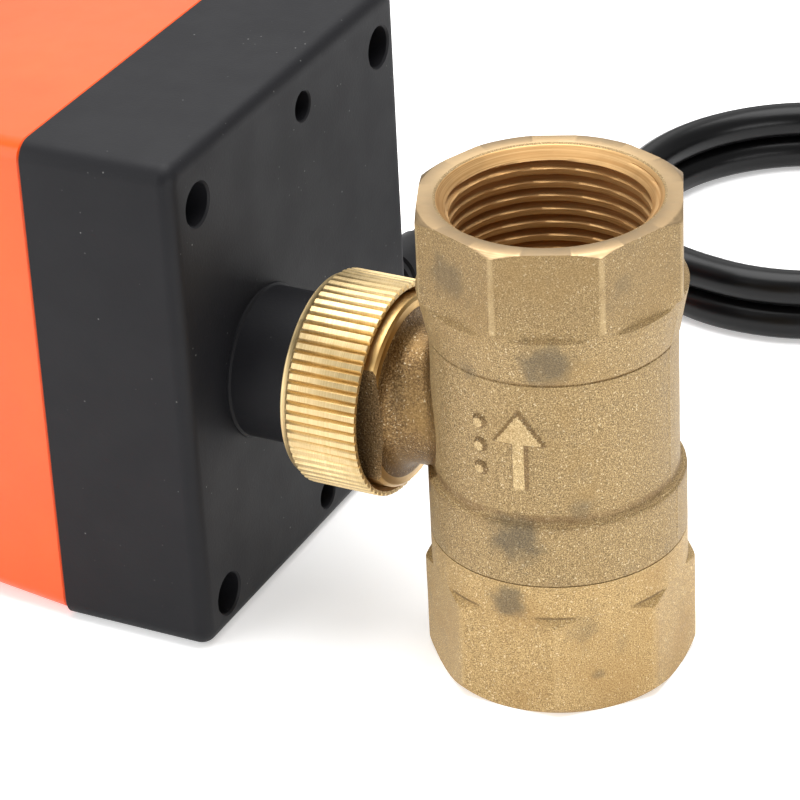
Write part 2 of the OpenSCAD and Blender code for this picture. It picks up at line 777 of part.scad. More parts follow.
module cord_clamp() {
    color("#E8E4D8") difference() {
        translate([gland_x - 4.4, 31, gland_z - 7.8]) cube([4.35, 4.4, 15.6]);
        translate([gland_x, 30, gland_z]) rotate([-90, 0, 0]) cylinder(h = 8, r = cable_d / 2 + 0.1);
        for (p = clamp_at) rod_x(gland_x - 6, gland_x + 1, 1.15, p);
    }
}

module clamp_screws() {
    color("#B8BCC0") for (p = clamp_at) {
        rod_x(gland_x - 5.8, gland_x - 4.4, 2, p);
        rod_x(gland_x - 4.4 - eps, gland_x + 2.5, 0.85, p);
    }
}

// Three insulated cores from the end of the cable's sheath to the terminal block.
function core_route(i) =
    let (side = i - 1, end_x = pcb_x0 - 2.5, end_y = 15.5 + 5 * i, low = 13 + 1.5 * side)
    [
        [gland_x + 1.2 * side, 30, gland_z], [-53 + side, 29.6, gland_z + 0.5], [-57.5, 32, 22.5 + 1.5 * side],
        [plate_x + 0.8, 34.4, 26 + 2 * side], [-66, 35, 21 + 1.8 * side], [-74, 35, 15 + 1.5 * side],
        [-80, 34.4, low], [-82, 31.5, low], [end_x, end_y + 2, low], [end_x, end_y, low + 2], [end_x, end_y, 20]
    ];

module core_wires() {
    color("#8A5A3C") for (i = [0:2]) swept_tube(core_route(i), 0.55, 8);
}

// Rubber gland that snaps into the base's wall, with a tapered boot outside.
module cable_gland() {
    color("#242426") translate([gland_x, 0, gland_z]) rotate([-90, 0, 0]) difference() {
        union() {
            translate([0, 0, base_y1 - wall - 1.4]) cylinder(h = 1.4, r = 4.8);
            translate([0, 0, base_y1 - wall - eps]) cylinder(h = wall + 2 * eps, r = 4);
            translate([0, 0, base_y1]) cylinder(h = 1.5, r = 5.4);
            translate([0, 0, base_y1 + 1.5 - eps]) cylinder(h = boot_end_y - base_y1 - 1.5 + eps, r1 = 4.5, r2 = 3.1);
        }
        translate([0, 0, base_y1 - wall - 2]) cylinder(h = 30, r = cable_d / 2 + 0.05);
    }
}

module cable_lead() {
    color("#1C1C1E") swept_tube(refined(lead_route), cable_d / 2);
}

// Outer shape of the two turns that lie one on the other.
module cable_coil() {
    color("#1C1C1E") translate([coil_at[0], coil_at[1], 0]) rotate_extrude()
        translate([coil_r - cable_d / 2, 0]) square([cable_d, 2 * cable_d]);
}

module cable_tail() {
    color("#1C1C1E") swept_tube(refined(tail_route), cable_d / 2);
}

// Three stripped cores at the cable's far end.
module wire_ends() {
    tip = tail_route[len(tail_route) - 1];
    way = unit(tip - tail_route[len(tail_route) - 2]);
    side = cross(way, [0, 0, 1]);
    color("#B06A3A") for (i = [-1, 0, 1]) {
        root = tip + 1.3 * i * side;
        knee = root + 7 * way + 1.2 * i * side;
        rod_between(root, knee, 0.75);
        rod_between(knee, knee + 5 * way + 0.6 * i * side, 0.45);
    }
}

valve_body();
end_connector();
body_seal();
ball();
upper_seat();
lower_seat();
valve_stem();
thrust_washer();
stem_seals();
union_nut();
nut_retaining_ring();
actuator_base();
actuator_cover();
cover_gasket();
cover_screws();
drive_shaft();
shaft_bush();
output_gear();
switch_cam();
idler_gear();
idler_pin();
motor_pinion();
gear_motor();
gear_plate();
gear_plate_screws();
motor_screws();
limit_switches();
switch_pads();
open_switch_lever();
closed_switch_lever();
circuit_board();
board_standoffs();
board_screws();
relay();
terminal_block();
capacitor();
cord_clamp();
clamp_screws();
core_wires();
cable_gland();
cable_lead();
cable_coil();
cable_tail();
wire_ends();
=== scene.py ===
import json
import math
import bmesh
import bpy
from mathutils import Matrix, Vector, noise


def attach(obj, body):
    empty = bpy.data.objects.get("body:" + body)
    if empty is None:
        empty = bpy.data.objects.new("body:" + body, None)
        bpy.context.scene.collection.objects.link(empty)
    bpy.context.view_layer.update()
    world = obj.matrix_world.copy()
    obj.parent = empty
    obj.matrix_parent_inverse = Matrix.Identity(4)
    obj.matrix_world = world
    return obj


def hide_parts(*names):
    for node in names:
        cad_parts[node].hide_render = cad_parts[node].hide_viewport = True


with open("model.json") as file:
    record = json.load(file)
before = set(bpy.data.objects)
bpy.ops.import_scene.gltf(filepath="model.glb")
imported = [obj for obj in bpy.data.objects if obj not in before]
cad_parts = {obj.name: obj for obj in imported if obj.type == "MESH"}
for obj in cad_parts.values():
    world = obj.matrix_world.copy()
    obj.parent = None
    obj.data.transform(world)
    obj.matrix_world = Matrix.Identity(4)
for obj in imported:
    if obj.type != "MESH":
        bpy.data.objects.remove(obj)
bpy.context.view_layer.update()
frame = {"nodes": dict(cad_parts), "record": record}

MM = 0.001
FIXED = "valve_and_actuator"
STEM_Z = 32.5
PIPE_AXIS = (0, 0, 0)
STEM_AXIS = (0, 0, STEM_Z)
CABLE_AXIS = (-48, 0, 18.5)


def metres(p):
    return Vector(p) * MM


# ---- camera ----

CAMERA_AT = (165.446, -352.426, 260.046)
CAMERA_TURN_DEG = (27.936, 29.893, -3.014)
CAMERA_LENS = 165.83


def place_camera():
    """Camera at the azimuth, elevation and roll of CAMERA_TURN_DEG."""
    az, el, roll = (math.radians(v) for v in CAMERA_TURN_DEG)
    back = Vector((math.sin(az) * math.cos(el), -math.cos(az) * math.cos(el), math.sin(el)))
    right0 = Vector((math.cos(az), math.sin(az), 0))
    up0 = back.cross(right0)
    right = math.cos(roll) * right0 + math.sin(roll) * up0
    up = -math.sin(roll) * right0 + math.cos(roll) * up0
    data = bpy.data.cameras.new("camera")
    data.sensor_width = 36
    data.lens = CAMERA_LENS
    data.clip_start = 0.01
    cam = bpy.data.objects.new("camera", data)
    m = Matrix((right, up, back)).transposed().to_4x4()
    m.translation = metres(CAMERA_AT)
    cam.matrix_world = m
    bpy.context.collection.objects.link(cam)
    bpy.context.scene.camera = cam


place_camera()


# ---- materials ----

def lin(rgb):
    """Linear colour, with alpha, of an sRGB colour given as 0 to 255."""
    parts = (c / 255 for c in rgb)
    return tuple(c / 12.92 if c <= 0.04045 else ((c + 0.055) / 1.055) ** 2.4 for c in parts) + (1,)


class Paint:
    """A Principled material, and the few texture nodes that it is mixed from."""

    def __init__(self, name, metallic, roughness, coat=0.0, coat_roughness=0.1, specular=0.5):
        self.mat = bpy.data.materials.new(name)
        self.mat.use_nodes = True
        self.tree = self.mat.node_tree
        self.tree.nodes.clear()
        self.bsdf = self.node("ShaderNodeBsdfPrincipled")
        out = self.node("ShaderNodeOutputMaterial")
        self.link(self.bsdf.outputs[0], out.inputs[0])
        self.bsdf.inputs["Metallic"].default_value = metallic
        self.bsdf.inputs["Roughness"].default_value = roughness
        self.bsdf.inputs["Coat Weight"].default_value = coat
        self.bsdf.inputs["Coat Roughness"].default_value = coat_roughness
        self.bsdf.inputs["Specular IOR Level"].default_value = specular
        self.where = self.node("ShaderNodeTexCoord").outputs["Object"]

    def node(self, kind):
        return self.tree.nodes.new(kind)

    def link(self, a, b):
        self.tree.links.new(a, b)

    def stretched(self, scale):
        n = self.node("ShaderNodeVectorMath")
        n.operation = "MULTIPLY"
        self.link(self.where, n.inputs[0])
        n.inputs[1].default_value = scale
        return n.outputs[0]

    def noise(self, size_mm, detail=2.0, rough=0.5):
        n = self.node("ShaderNodeTexNoise")
        self.link(self.where, n.inputs["Vector"])
        n.inputs["Scale"].default_value = 1 / (size_mm * MM)
        n.inputs["Detail"].default_value = detail
        n.inputs["Roughness"].default_value = rough
        return n.outputs[0]

    def ramp(self, fac, *stops):
        n = self.node("ShaderNodeValToRGB")
        self.link(fac, n.inputs[0])
        e = n.color_ramp.elements
        while len(e) < len(stops):
            e.new(0.5)
        for el, (pos, colour) in zip(e, stops):
            el.position = pos
            el.color = colour if len(colour) == 4 else lin(colour)
        return n.outputs[0]

    def level(self, fac, low, high, to_low=0.0, to_high=1.0):
        """fac carried from low..high to to_low..to_high, with soft ends."""
        n = self.node("ShaderNodeMapRange")
        n.interpolation_type = "SMOOTHSTEP"
        self.link(fac, n.inputs[0])
        for i, v in enumerate((low, high, to_low, to_high)):
            n.inputs[i + 1].default_value = v
        return n.outputs[0]

    def mix(self, fac, a, b):
        n = self.node("ShaderNodeMix")
        n.data_type = "RGBA"
        if isinstance(fac, (int, float)):
            n.inputs[0].default_value = fac
        else:
            self.link(fac, n.inputs[0])
        for i, v in ((6, a), (7, b)):
            if isinstance(v, tuple):
                n.inputs[i].default_value = v if len(v) == 4 else lin(v)
            else:
                self.link(v, n.inputs[i])
        return n.outputs[2]

    def maths(self, op, a, b):
        n = self.node("ShaderNodeMath")
        n.operation = op
        for i, v in enumerate((a, b)):
            if isinstance(v, (int, float)):
                n.inputs[i].default_value = v
            else:
                self.link(v, n.inputs[i])
        return n.outputs[0]

    def near(self, point_mm, radius_mm):
        """1 at a point on the surface, and 0 beyond a ragged radius."""
        n = self.node("ShaderNodeVectorMath")
        n.operation = "DISTANCE"
        self.link(self.where, n.inputs[0])
        n.inputs[1].default_value = metres(point_mm)
        radius = radius_mm * MM
        ragged = self.maths("MULTIPLY", self.maths("SUBTRACT", self.noise(2.2, 3), 0.5), radius * 1.3)
        return self.level(self.maths("ADD", n.outputs["Value"], ragged), radius, radius * 0.25)

    def colour(self, c):
        self.link(c, self.bsdf.inputs["Base Color"])

    def roughness(self, r):
        self.link(r, self.bsdf.inputs["Roughness"])

    def bump(self, *layers):
        normal = None
        for height, depth_mm, strength in layers:
            n = self.node("ShaderNodeBump")
            n.inputs["Strength"].default_value = strength
            n.inputs["Distance"].default_value = depth_mm * MM
            self.link(height, n.inputs["Height"])
            if normal is not None:
                self.link(normal, n.inputs["Normal"])
            normal = n.outputs[0]
        self.link(normal, self.bsdf.inputs["Normal"])


def forged(name, dark, mid, light, smudges=(), tint=(150, 120, 70), crease_shade=(), corner_crease_shade=None,
           metallic=0.5, rough=0.55, pits=0.045, grain_mm=0.15, corner_highlight=None, shade=None):
    """Sandblasted forging: fine bright and dark grains, soft stains, grey smudges, painted shade in creases
    and painted highlights on corners.

    The painted shade in the creases, and shade, are (low, high, strength), between two heights in mm; shade
    darkens the colour from low to high. The painted highlight along the corners and the painted shade in the
    crease at the corners are (low, high, angle of the first corner in degrees, strength).
    """
    p = Paint(name, metallic, rough)
    grain = p.noise(grain_mm, 2, 0.6)
    c = p.ramp(grain, (0.34, dark), (0.5, mid), (0.66, light))
    c = p.mix(p.level(p.noise(0.3, 1, 0.5), 0.64, 0.74, 0, 0.5), c, (238, 222, 186))
    c = p.mix(p.level(p.noise(9, 3, 0.6), 0.45, 0.75, 0, 0.42), c, tint)
    c = p.mix(p.level(p.noise(3.4, 4, 0.65), 0.56, 0.72, 0, 0.22), c, (112, 98, 76))
    axis = p.node("ShaderNodeSeparateXYZ")
    p.link(p.where, axis.inputs[0])
    waves = p.maths("MULTIPLY", p.maths("SUBTRACT", p.noise(2.0, 3), 0.5), 0.9 * MM)
    wavy = p.maths("ADD", axis.outputs["Z"], waves)
    # Painted shade: brown bands that darken the body along its creases.
    for low, high, strength in crease_shade:
        half = (high - low) / 2 * MM
        off = p.maths("ABSOLUTE", p.maths("SUBTRACT", wavy, (low + high) / 2 * MM), 0.0)
        band = p.level(off, half * 1.6, half * 0.5)
        band = p.maths("MULTIPLY", band, p.level(p.noise(5, 3), 0.3, 0.6, 0.35, 1))
        c = p.mix(p.maths("MULTIPLY", band, strength), c, (104, 74, 42))

    def round_corners(first_deg, low, high):
        turn = p.maths("ARCTAN2", axis.outputs["Y"], axis.outputs["X"])
        eighths = p.maths("MULTIPLY", p.maths("SUBTRACT", turn, math.radians(first_deg)), 8.0)
        return p.level(p.maths("COSINE", eighths, 0.0), low, high)
    # Painted highlight: a paler band along the rounded corners of the octagon.
    if corner_highlight:
        low, high, first_deg, strength = corner_highlight
        above = p.level(axis.outputs["Z"], (low - 0.4) * MM, low * MM)
        below = p.level(axis.outputs["Z"], (high + 0.4) * MM, high * MM)
        edge = p.maths("MULTIPLY", p.maths("MULTIPLY", above, below), round_corners(first_deg, 0.972, 0.998))
        edge = p.maths("MULTIPLY", edge, p.level(p.noise(3, 3), 0.3, 0.6, 0.4, 1))
        c = p.mix(p.maths("MULTIPLY", edge, strength), c, (222, 196, 148))
    # Painted shade: a dark brown band in the crease under the octagon's corners.
    if corner_crease_shade:
        low, high, first_deg, strength = corner_crease_shade
        corner = round_corners(first_deg, 0.0, 0.75)
        half = (high - low) / 2 * MM
        off = p.maths("ABSOLUTE", p.maths("SUBTRACT", axis.outputs["Z"], (low + high) / 2 * MM), 0.0)
        band = p.maths("MULTIPLY", p.level(off, half * 1.3, half * 0.6), corner)
        c = p.mix(p.maths("MULTIPLY", band, strength), c, (70, 46, 22))
    if shade:
        low, high, strength = shade
        c = p.mix(p.level(axis.outputs["Z"], low * MM, high * MM, 0, strength), c, (122, 98, 62))
    for point, radius, strength in smudges:
        c = p.mix(p.maths("MULTIPLY", p.near(point, radius), strength), c, (74, 69, 58))
    p.colour(c)
    p.roughness(p.level(grain, 0.3, 0.7, rough - 0.08, rough + 0.08))
    p.bump((p.noise(2.2, 3, 0.6), 0.09, 0.4), (grain, pits, 0.9))
    return p.mat


def turned(name, base, pale, roughness=0.24, axis=2, metallic=1.0, lines=0.3):
    """Machined metal, with fine tool lines round the axis."""
    p = Paint(name, metallic, roughness)
    scale = [60.0, 60.0, 60.0]
    scale[axis] = 9000.0
    n = p.node("ShaderNodeTexNoise")
    p.link(p.stretched(tuple(scale)), n.inputs["Vector"])
    n.inputs["Scale"].default_value = 1.0
    n.inputs["Detail"].default_value = 2
    c = p.ramp(n.outputs[0], (0.35, base), (0.65, pale))
    c = p.mix(p.level(p.noise(3, 3), 0.5, 0.75, 0, 0.12), c, tuple(int(v * 0.8) for v in base))
    p.colour(c)
    p.roughness(p.level(p.noise(1.2, 2), 0.3, 0.7, roughness * 0.92, roughness * 1.12))
    p.bump((n.outputs[0], 0.006, lines))
    return p.mat


def moulded(name, base, pale, roughness=0.5, grain_mm=0.35, depth=0.02, coat=0.0, coat_roughness=0.12,
            dust=0.0, specular=0.5):
    """Moulded plastic with a fine grain, slight patches, and dust if there is any."""
    p = Paint(name, 0.0, roughness, coat, coat_roughness, specular)
    c = p.ramp(p.noise(14, 3, 0.55), (0.3, base), (0.75, pale))
    c = p.mix(p.level(p.noise(grain_mm * 1.4, 2), 0.35, 0.65, 0, 0.22), c, pale)
    if dust:
        v = p.node("ShaderNodeTexVoronoi")
        p.link(p.where, v.inputs["Vector"])
        v.inputs["Scale"].default_value = 1 / (1.5 * MM)
        specks = p.level(v.outputs["Distance"], 0.10, 0.04)
        patchy = p.level(p.noise(5, 2), 0.5, 0.7)
        c = p.mix(p.maths("MULTIPLY", p.maths("MULTIPLY", specks, patchy), dust), c, (175, 175, 172))
    p.colour(c)
    p.roughness(p.level(p.noise(6, 3), 0.3, 0.7, roughness * 0.95, roughness * 1.05))
    p.bump((p.noise(grain_mm, 2, 0.6), depth, 0.6))
    return p.mat


# Stains on the brass: a point on the surface and a radius in mm, and a strength.
BODY_SMUDGES = (
    ((5.9, -14.9, 48.9), 4.4, 0.62), ((1.6, -15.9, 24.8), 4.6, 0.65), ((9.0, -13.0, 29.0), 2.6, 0.35),
    ((-4.5, -15.0, 46.5), 2.2, 0.3), ((13.5, -9.5, 58.5), 2.0, 0.25), ((-6.9, -14.6, 57.8), 4.4, 0.4))
CONNECTOR_SMUDGES = (
    ((0.6, -16.0, 15.6), 3.2, 0.65), ((10.8, -12.5, 5.3), 1.4, 0.6), ((9.5, -13.2, 12.0), 2.4, 0.3))

MATS = {
    # The body has painted shade in its creases and a painted highlight along the octagon's corners.
    "forged": forged("forged_brass", (100, 80, 49), (150, 125, 84), (193, 168, 121), BODY_SMUDGES,
                     crease_shade=((27.2, 28.0, 0.5), (26.0, 26.6, 0.2), (45.85, 46.25, 0.4)),
                     corner_highlight=(53.2, 62.8, 0, 0.4), shade=(50, 57, 0.3)),
    # Paler copy of the forging: painted highlight on the top of the cast arrow.
    "forged_top": forged("arrow_top_painted_highlight_brass", (140, 116, 76), (184, 158, 112), (222, 198, 150)),
    # Darker copy of the forging: painted shade on the slopes of the cast arrow.
    "forged_edge": forged("arrow_slope_painted_shade_brass", (84, 64, 38), (124, 99, 62), (160, 132, 90)),
    # Darker brass for the neck: painted shade between nut and barrel; its coarser grain and gloss are its
    # own.
    "neck": forged("neck_brass_painted_shade", (82, 61, 35), (116, 90, 56), (158, 130, 88),
                   metallic=0.8, rough=0.42, pits=0.09, grain_mm=0.22),
    # The connector has painted shade in the crease under its corners and a faint painted highlight along
    # them.
    "connector": forged("connector_brass", (124, 99, 60), (172, 143, 94), (211, 182, 129), CONNECTOR_SMUDGES,
                        (158, 122, 68), corner_crease_shade=(13.8, 14.1, 22.5, 0.6), corner_highlight=(1.8, 12.6, 22.5, 0.12)),
    "faced": turned("faced_brass", (158, 134, 100), (174, 150, 115), 0.44, lines=0.15),
    "threaded": turned("threaded_brass", (184, 140, 86), (208, 168, 114), 0.42, metallic=0.7, lines=0.1),
    "flange": turned("flange_brass", (192, 156, 98), (214, 182, 126), 0.34, 0, lines=0.1),
    # Darker brass for the flange's flats: painted shade; their rough grain is their own.
    "rough_flat": forged("rough_flat_brass_painted_shade", (76, 58, 34), (112, 88, 56), (156, 128, 88),
                         metallic=0.8, rough=0.44, pits=0.1, grain_mm=0.24),
    "nut": turned("nut_brass", (206, 180, 130), (222, 198, 150), 0.43, 0, lines=0.08),
    "nut_mouth": turned("nut_mouth_brass", (134, 104, 62), (160, 127, 80), 0.45, 0, lines=0.1),
    "base": moulded("base_plastic", (21, 21, 24), (22, 22, 25), 0.55, 0.4, 0.03, dust=0.35, specular=0.2),
    "cover": moulded("cover_plastic", (246, 80, 14), (250, 88, 20), 0.4, 0.6, 0.008, coat=0.25,
                     coat_roughness=0.18, specular=0.3),
    "rubber": moulded("boot_rubber", (12, 12, 14), (18, 18, 20), 0.55, 0.5, 0.02, specular=0.3),
    "cable": moulded("cable_sheath", (5, 5, 6), (8, 8, 9), 0.3, 0.8, 0.006, specular=0.25),
    "core_brown": moulded("core_brown", (104, 62, 36), (120, 74, 44), 0.35),
    "core_blue": moulded("core_blue", (30, 84, 170), (44, 100, 186), 0.35),
    "core_black": moulded("core_black", (20, 20, 22), (32, 32, 34), 0.35),
    "copper": turned("core_copper", (200, 116, 70), (232, 150, 100), 0.3),
}
CLASS_MATS = {
    "forged_brass": "forged", "connector_brass": "connector", "nut_brass": "nut", "base_plastic": "base",
    "cover_plastic": "cover", "black_rubber": "rubber", "cable_pvc": "cable", "core_insulation": "core_brown",
    "stem_brass": turned("stem_brass", (206, 168, 92), (232, 198, 124), 0.25, 0),
    "ball_chrome": turned("ball_chrome", (214, 214, 212), (236, 236, 234), 0.07),
    "seat_ptfe": moulded("seat_ptfe", (236, 236, 230), (246, 246, 242), 0.5),
    "zinc_steel": turned("zinc_steel", (176, 180, 184), (206, 208, 210), 0.3, 0),
    "shaft_steel": turned("shaft_steel", (150, 152, 156), (184, 186, 188), 0.26, 0),
    "gear_plastic": moulded("gear_plastic", (224, 219, 204), (236, 232, 220), 0.42),
    "cam_plastic": moulded("cam_plastic", (38, 84, 140), (52, 98, 154), 0.45),
    "motor_can": turned("motor_can", (168, 170, 174), (200, 202, 204), 0.34, 0),
    "switch_plastic": moulded("switch_plastic", (24, 24, 27), (34, 34, 38), 0.5),
    "board_laminate": moulded("board_laminate", (24, 88, 44), (34, 104, 56), 0.4),
    "relay_plastic": moulded("relay_plastic", (22, 66, 140), (34, 80, 156), 0.35, coat=0.3),
    "terminal_plastic": moulded("terminal_plastic", (50, 122, 76), (64, 138, 90), 0.5),
    "capacitor_sleeve": moulded("capacitor_sleeve", (30, 30, 38), (42, 42, 52), 0.35, coat=0.3),
}


def mat_of_slot(slot):
    """Material of a slot in the record: one that the new pieces share, or the CAD nodes' own."""
    m = CLASS_MATS[slot]
    return MATS[m] if isinstance(m, str) else m


for sub in frame["record"]["subparts"]:
    node = frame["nodes"][sub["node"]]
    node.data.materials.clear()
    node.data.materials.append(mat_of_slot(sub["material_slot"]))


def colour_cores():
    """The three wires inside the actuator are one node, so each loose piece takes its own core's colour."""
    mesh = frame["nodes"]["core_wires"].data
    for key in ("core_black", "core_blue"):
        mesh.materials.append(MATS[key])
    bm = bmesh.new()
    bm.from_mesh(mesh)
    left, pieces = set(bm.faces), []
    while left:
        piece, edge = [], [next(iter(left))]
        left.discard(edge[0])
        while edge:
            f = edge.pop()
            piece.append(f)
            for v in f.verts:
                for g in v.link_faces:
                    if g in left:
                        left.discard(g)
                        edge.append(g)
        pieces.append(piece)
    pieces.sort(key=lambda q: sum(f.calc_center_median().z for f in q) / len(q))
    for i, piece in enumerate(pieces):
        for f in piece:
            f.material_index = min(i, 2)
    bm.to_mesh(mesh)
    bm.free()


colour_cores()


# ---- mesh helpers ----

def ring_mesh(name, rings, loop):
    """Quads between rings of equal length. The ends meet if loop is true, and are capped if not."""
    n = len(rings[0])
    verts = [Vector(v) * MM for r in rings for v in r]
    faces = []
    for i in range(len(rings) if loop else len(rings) - 1):
        a, b = i * n, (i + 1) % len(rings) * n
        faces += [(a + k, a + (k + 1) % n, b + (k + 1) % n, b + k) for k in range(n)]
    if not loop:
        faces.append(tuple(range(n))[::-1])
        faces.append(tuple((len(rings) - 1) * n + k for k in range(n)))
    mesh = bpy.data.meshes.new(name)
    mesh.from_pydata(verts, [], faces)
    bm = bmesh.new()
    bm.from_mesh(mesh)
    bmesh.ops.recalc_face_normals(bm, faces=bm.faces)
    bm.to_mesh(mesh)
    bm.free()
    obj = bpy.data.objects.new(name, mesh)
    bpy.context.collection.objects.link(obj)
    return obj


def radius_at(r, t):
    """A radius that is given as a number or as a function of the angle."""
    return r(t) if callable(r) else r


def turned_ring(axis, at, r, n, centre=STEM_AXIS):
    """Ring of n points of radius r round Z, X or Y."""
    out = []
    for k in range(n):
        t = 2 * math.pi * k / n
        q = radius_at(r, t)
        c, s = q * math.cos(t), q * math.sin(t)
        out.append({"z": (centre[0] + c, centre[1] + s, at), "x": (at, centre[1] + c, centre[2] + s),
                    "y": (centre[0] + s, at, centre[2] + c)}[axis])
    return out


def rod(name, axis, a, b, r, centre):
    """Plain rod between two places on an axis, to cut or join with."""
    return ring_mesh(name, [turned_ring(axis, at, r, 64, centre) for at in (a, b)], False)


def joined(objs):
    """One object of several that don't touch."""
    bm = bmesh.new()
    for o in objs:
        bm.from_mesh(o.data)
    bm.to_mesh(objs[0].data)
    bm.free()
    for o in objs[1:]:
        bpy.data.objects.remove(o)
    return objs[0]


def boolean(target, other, how):
    """Target with the other object cut out, added or kept. The other object is removed."""
    m = target.modifiers.new(how, "BOOLEAN")
    m.operation = how
    m.solver = "EXACT"
    m.object = other
    shape = bpy.data.meshes.new_from_object(target.evaluated_get(bpy.context.evaluated_depsgraph_get()))
    target.modifiers.clear()
    target.data = shape
    bpy.data.objects.remove(other)
    return target


def finished(obj, keys, choose=None, angle=32, body=FIXED):
    """Materials by face, smooth shading with sharp edges, and the body that the piece rides on.

    choose gives the key of a face's material from its centre in mm and its normal.
    """
    mesh = obj.data
    mesh.materials.clear()
    for k in keys:
        mesh.materials.append(MATS[k])
    for poly in mesh.polygons:
        poly.material_index = keys.index(choose(poly.center / MM, poly.normal)) if choose else 0
    mesh.shade_smooth()
    mesh.set_sharp_from_angle(angle=math.radians(angle))
    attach(obj, body)


def step_list(a, b, n):
    return [a + (b - a) * i / n for i in range(n + 1)]


def quarter(n):
    """Angles of a quarter turn in n steps."""
    return [k / n * math.pi / 2 for k in range(n + 1)]


# ---- cable ----
# Route points in millimetres, the same as in the CAD part.

CABLE_R = 2.65
CORE_R = 0.72
BARE_R = 0.42
SPLINE_STEPS = 4
LEAD = ((-48, 41, 18.5), (-48, 44, 18.5), (-48, 49, 18.5), (-48, 53, 18.5), (-48, 58, 18.5),
        (-47.6, 63, 18.3), (-46.8, 68, 17.8), (-45.1, 72.2, 16.8), (-42.8, 76, 15.5), (-39.9, 79.2, 14),
        (-36.5, 81.8, 12.5), (-32.7, 83.8, 11.1), (-28.5, 85.3, 9.8), (-25.2, 85.8, 9.0), (-22, 85.9, 8.4))
COIL_AT, COIL_R = (-9, 112), 28
COIL_STEPS = 42
COIL_START_DEG, COIL_SWEEP_DEG = -105, 630
COIL_TOP_Z, COIL_DROP = 7.95, 5.3
TAIL = ((-38.4, 111, 2.65), (-40.6, 103, 2.65), (-42.4, 95.5, 2.65))


def coil_points():
    """The coil from its upper turn to its lower one, with a soft step down between them."""
    out = []
    for i in range(COIL_STEPS + 1):
        deg = COIL_START_DEG + COIL_SWEEP_DEG * i / COIL_STEPS
        down = min(1, max(0, (deg - 185) / 65))
        z = COIL_TOP_Z - COIL_DROP * down * down * (3 - 2 * down)
        t = math.radians(deg)
        out.append((COIL_AT[0] + COIL_R * math.cos(t), COIL_AT[1] + COIL_R * math.sin(t), z))
    return out


def smooth_line(points):
    """Catmull-Rom line through the points, with SPLINE_STEPS pieces between each two."""
    p = [Vector(v) for v in points]
    out = []
    for i in range(len(p) - 1):
        a, b, c, d = p[max(i - 1, 0)], p[i], p[i + 1], p[min(i + 2, len(p) - 1)]
        for k in range(SPLINE_STEPS):
            t = k / SPLINE_STEPS
            out.append(0.5 * (2 * b + (c - a) * t + (2 * a - 5 * b + 4 * c - d) * t * t
                              + (3 * b - a - 3 * c + d) * t ** 3))
    return out + [p[-1]]


def tube_curve(name, line, radius, key, sides=5):
    data = bpy.data.curves.new(name, "CURVE")
    data.dimensions = "3D"
    data.bevel_depth = radius * MM
    data.bevel_resolution = sides
    data.use_fill_caps = True
    s = data.splines.new("POLY")
    s.points.add(len(line) - 1)
    for q, v in zip(s.points, line):
        q.co = (*(v * MM), 1)
    s.use_smooth = True
    data.materials.append(MATS[key])
    obj = bpy.data.objects.new(name, data)
    bpy.context.collection.objects.link(obj)
    return obj


def make_cable():
    """The cable in one curve, and the three cores at its bare end."""
    line = smooth_line(LEAD + tuple(coil_points()) + TAIL)
    cable = tube_curve("cable", line, CABLE_R, "cable")
    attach(cable, FIXED)
    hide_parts("cable_lead", "cable_coil", "cable_tail")
    tip = Vector(TAIL[-1])
    way = (tip - Vector(TAIL[-2])).normalized()
    side = way.cross(Vector((0, 0, 1)))
    for i, key in ((-1, "core_brown"), (0, "core_black"), (1, "core_blue")):
        root = tip + 1.3 * i * side
        knee = root + 7 * way + 1.2 * i * side
        end = knee + 5 * way + 0.6 * i * side
        bend = root + 2.5 * way + 0.2 * i * side
        core = tube_curve(key, [root - way, bend, knee], CORE_R, key, 3)
        bare = tube_curve(key.replace("core", "bare"), [knee - way, end], BARE_R, "copper", 2)
        for c in (core, bare):
            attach(c, FIXED)
    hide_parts("wire_ends")


make_cable()


# ---- valve body and end connector ----

OCT_R = 17.0
BARREL_R = 15.1
BAND_R = 15.95
NECK_R = 8.7
NECK_FILLET = 1.5
TOP_Z = 63.5
SEAM_Z = 18.5
PORT_DEPTH = 15.5
THREAD_PITCH = 1.814
THREAD_MINOR_R = 12.06
THREAD_HEIGHT = 1.16
ARROW_DEG = -82
ARROW_RELIEF = 0.5
ARROW_REACH = 8
PARTING_HEIGHT = 0.09
PARTING_HALF_WIDTH = 0.45
FLANGE_X = -19.4
FLANGE_R = 12.3
FLAT_Y = 9.6


def octagon(first_deg, corner):
    """Radius of an octagon whose corners are rounded off, to about the corner radius given."""
    flat = OCT_R * math.cos(math.pi / 8)

    def r(t):
        sharp = flat / math.cos((t - math.radians(first_deg)) % (math.pi / 4) - math.pi / 8)
        return -math.log(math.exp(-8 * sharp) + math.exp(-8 * corner)) / 8
    return r


def limited(f, cap):
    return lambda t: min(f(t), cap)


def unevenness(t, z, shift=0):
    """Slow unevenness of a forged surface, from -1 to 1."""
    return noise.noise(Vector((5 * math.cos(t) + shift, 5 * math.sin(t), z * 0.33)))


def thread_rows(mouth, depth, up, n, mouth_r):
    """Rings of a parallel pipe thread, from the mouth inwards."""
    rows = []
    steps = int(depth / THREAD_PITCH * 14)
    for i in range(1, steps + 1):
        d = depth * i / steps
        z = mouth - up * d
        fade = min(1, max(0, (depth - 0.4 - d) / 1.6))

        def r(t, z=z, d=d, fade=fade):
            f = (z / THREAD_PITCH - t / (2 * math.pi)) % 1
            tri = 1 - abs(2 * f - 1)
            rise = min(1, max(0, (tri - 0.4) / 0.55))
            return max(THREAD_MINOR_R + THREAD_HEIGHT * fade * rise, mouth_r - d)
        rows.append(turned_ring("z", z, r, n, PIPE_AXIS))
    return rows


